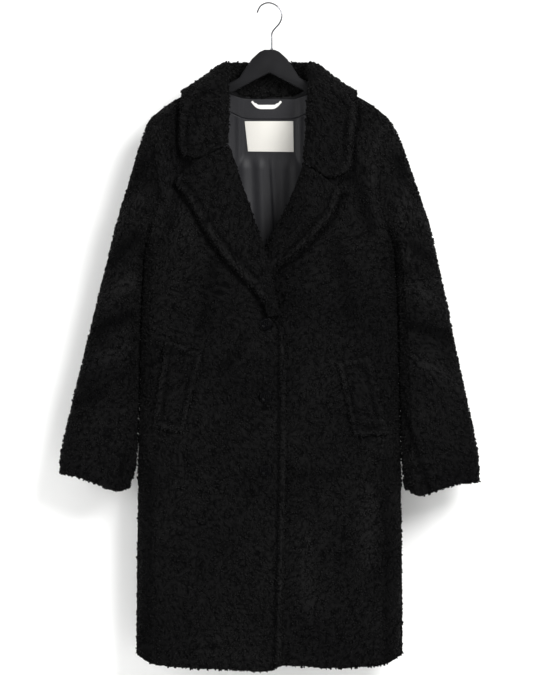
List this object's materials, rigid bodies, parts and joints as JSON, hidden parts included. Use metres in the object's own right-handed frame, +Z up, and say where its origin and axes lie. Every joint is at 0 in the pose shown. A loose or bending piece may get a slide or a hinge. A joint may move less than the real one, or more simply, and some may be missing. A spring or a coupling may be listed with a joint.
{
  "type": "faux fur coat on hanger",
  "caption": "Knee-length faux fur coat with notched lapels, buttoned front and slanted pocket welts, hung on a plastic hanger.",
  "frame": {"origin": "inner top of the hanger's hook, where it hangs on a rod", "axes": "+Z up, the coat's front faces -Y, the wearer's left side is at +X"},
  "size_m": [0.7609, 0.1504, 1.2044],
  "materials": {
    "fur": "short curly black faux fur pile, matte",
    "satin": "dark grey satin lining with a soft sheen",
    "label": "off-white woven cloth, bare",
    "tape": "narrow off-white woven tape",
    "plastic": "dark grey moulded plastic",
    "button": "polished black",
    "wire": "polished"
  },
  "bodies": {
    "root": {"front_right": "fur", "front_left": "fur", "back": "fur", "sleeve_top_right": "fur", "sleeve_under_right": "fur", "sleeve_top_left": "fur", "sleeve_under_left": "fur", "collar": "fur", "lapel_right": "fur", "lapel_left": "fur", "pocket_welt_right": "fur", "pocket_welt_left": "fur", "button_upper": "button", "button_middle": "button", "button_lower": "button", "lining_yoke": "satin", "lining_back": "satin", "neck_label": "label", "hanging_loop": "tape", "hanger": "plastic", "hook": "wire"}
  },
  "joints": []
}
